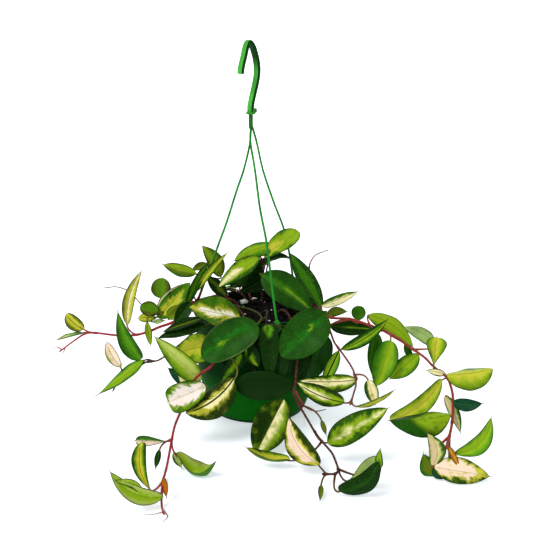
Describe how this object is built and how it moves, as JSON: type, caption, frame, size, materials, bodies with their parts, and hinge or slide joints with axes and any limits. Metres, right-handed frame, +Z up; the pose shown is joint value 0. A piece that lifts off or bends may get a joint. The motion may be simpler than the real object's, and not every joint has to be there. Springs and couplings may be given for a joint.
{
  "type": "potted hoya plant",
  "caption": "Trailing hoya with cream-centred green leaves in a round green plastic hanging pot with its wire hanger and hook.",
  "frame": {"origin": "middle of the underside of the pot, where it rests on a surface", "axes": "+Z up, -Y to the side with the most foliage, which the picture is taken from, +X to its right"},
  "size_m": [0.4913, 0.3825, 0.4375],
  "materials": {
    "pot_plastic": "moulded, semi-gloss",
    "hanger_plastic": "moulded, semi-gloss",
    "soil": "loose potting mix, matt",
    "foliage": "waxy leaves, semi-gloss"
  },
  "bodies": {
    "root": {"pot": "pot_plastic", "soil": "soil", "hanger": "hanger_plastic", "vine_left_long": "foliage", "vine_left_brown": "foliage", "vine_left_bushy": "foliage", "vine_back_left": "foliage", "vine_centre_back": "foliage", "vine_centre_right": "foliage", "vine_rim_left": "foliage", "vine_rim_front": "foliage", "vine_rim_right": "foliage", "vine_front_left": "foliage", "vine_front": "foliage", "vine_front_right": "foliage", "vine_right_long": "foliage", "vine_behind_left": "foliage", "vine_behind_right": "foliage"}
  },
  "joints": []
}
